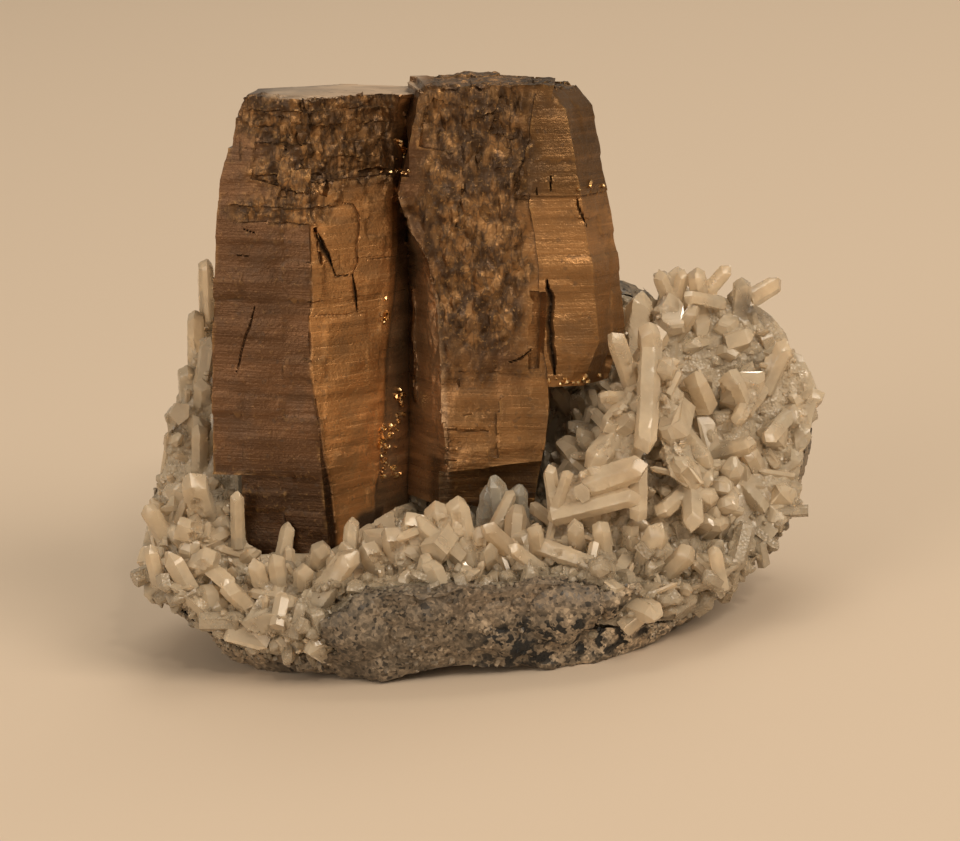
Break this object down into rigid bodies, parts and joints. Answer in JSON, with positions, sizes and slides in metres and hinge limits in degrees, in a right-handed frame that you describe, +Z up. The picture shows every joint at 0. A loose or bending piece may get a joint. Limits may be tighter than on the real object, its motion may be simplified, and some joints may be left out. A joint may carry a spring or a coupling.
{
  "type": "pyrrhotite specimen",
  "caption": "Mineral specimen: bronze pyrrhotite crystals grown together, standing in a nest of milky quartz crystals on a broken piece of grey matrix rock that rests on its flat underside.",
  "frame": {"origin": "on the surface that the rock rests on, under the middle of the specimen's bounding box", "axes": "+Z up, -Y towards the front that shows the crystals, +X to the right seen from the front"},
  "size_m": [0.227, 0.1376, 0.1796],
  "materials": {
    "pyrrhotite": "satin",
    "quartz": "gloss",
    "matrix": "matte"
  },
  "bodies": {
    "root": {"pyrrhotite_crystals": "pyrrhotite", "quartz_crystals": "quartz", "matrix_rock": "matrix"}
  },
  "joints": []
}
